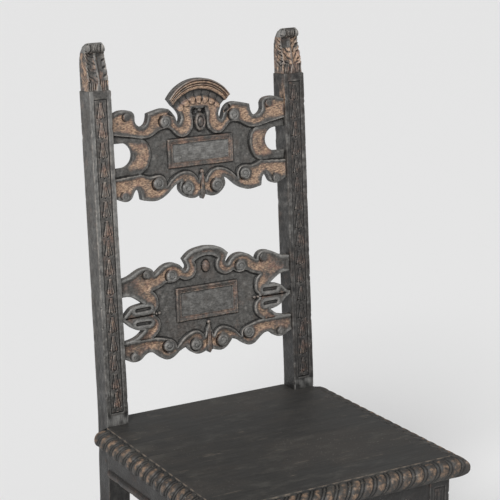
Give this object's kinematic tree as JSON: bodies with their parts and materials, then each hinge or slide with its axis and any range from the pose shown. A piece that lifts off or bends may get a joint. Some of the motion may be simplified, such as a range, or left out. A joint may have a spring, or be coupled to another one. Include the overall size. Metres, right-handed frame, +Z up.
{
  "type": "wainscot chair",
  "caption": "Carved wooden side chair with a plank seat, gadrooned seat edge, raked back posts with leaf finials, and pierced scroll-carved back rails.",
  "frame": {"origin": "on the floor, at the centre of the chair's footprint box", "axes": "+Z up, the front of the seat towards -Y, +X to the right when the chair is seen from in front"},
  "size_m": [0.4786, 0.5038, 1.1052],
  "materials": {
    "ebonised_wood": "satin",
    "seat_wood": "satin",
    "peg_wood": "satin",
    "iron_nail": "matte"
  },
  "bodies": {
    "root": {"rear_post_left": "ebonised_wood", "rear_post_right": "ebonised_wood", "front_leg_left": "ebonised_wood", "front_leg_right": "ebonised_wood", "crest_rail": "ebonised_wood", "lower_back_rail": "ebonised_wood", "seat_board": "seat_wood", "seat_nails": "iron_nail", "front_seat_rail": "ebonised_wood", "rear_seat_rail": "ebonised_wood", "side_seat_rail_left": "ebonised_wood", "side_seat_rail_right": "ebonised_wood", "front_stretcher": "ebonised_wood", "rear_stretcher": "ebonised_wood", "side_stretcher_left": "ebonised_wood", "side_stretcher_right": "ebonised_wood", "crest_rail_pegs": "peg_wood", "lower_back_rail_pegs": "peg_wood", "front_seat_rail_pegs": "peg_wood", "rear_seat_rail_pegs": "peg_wood", "side_seat_rail_pegs": "peg_wood", "front_stretcher_pegs": "peg_wood", "rear_stretcher_pegs": "peg_wood", "side_stretcher_pegs": "peg_wood"}
  },
  "joints": []
}
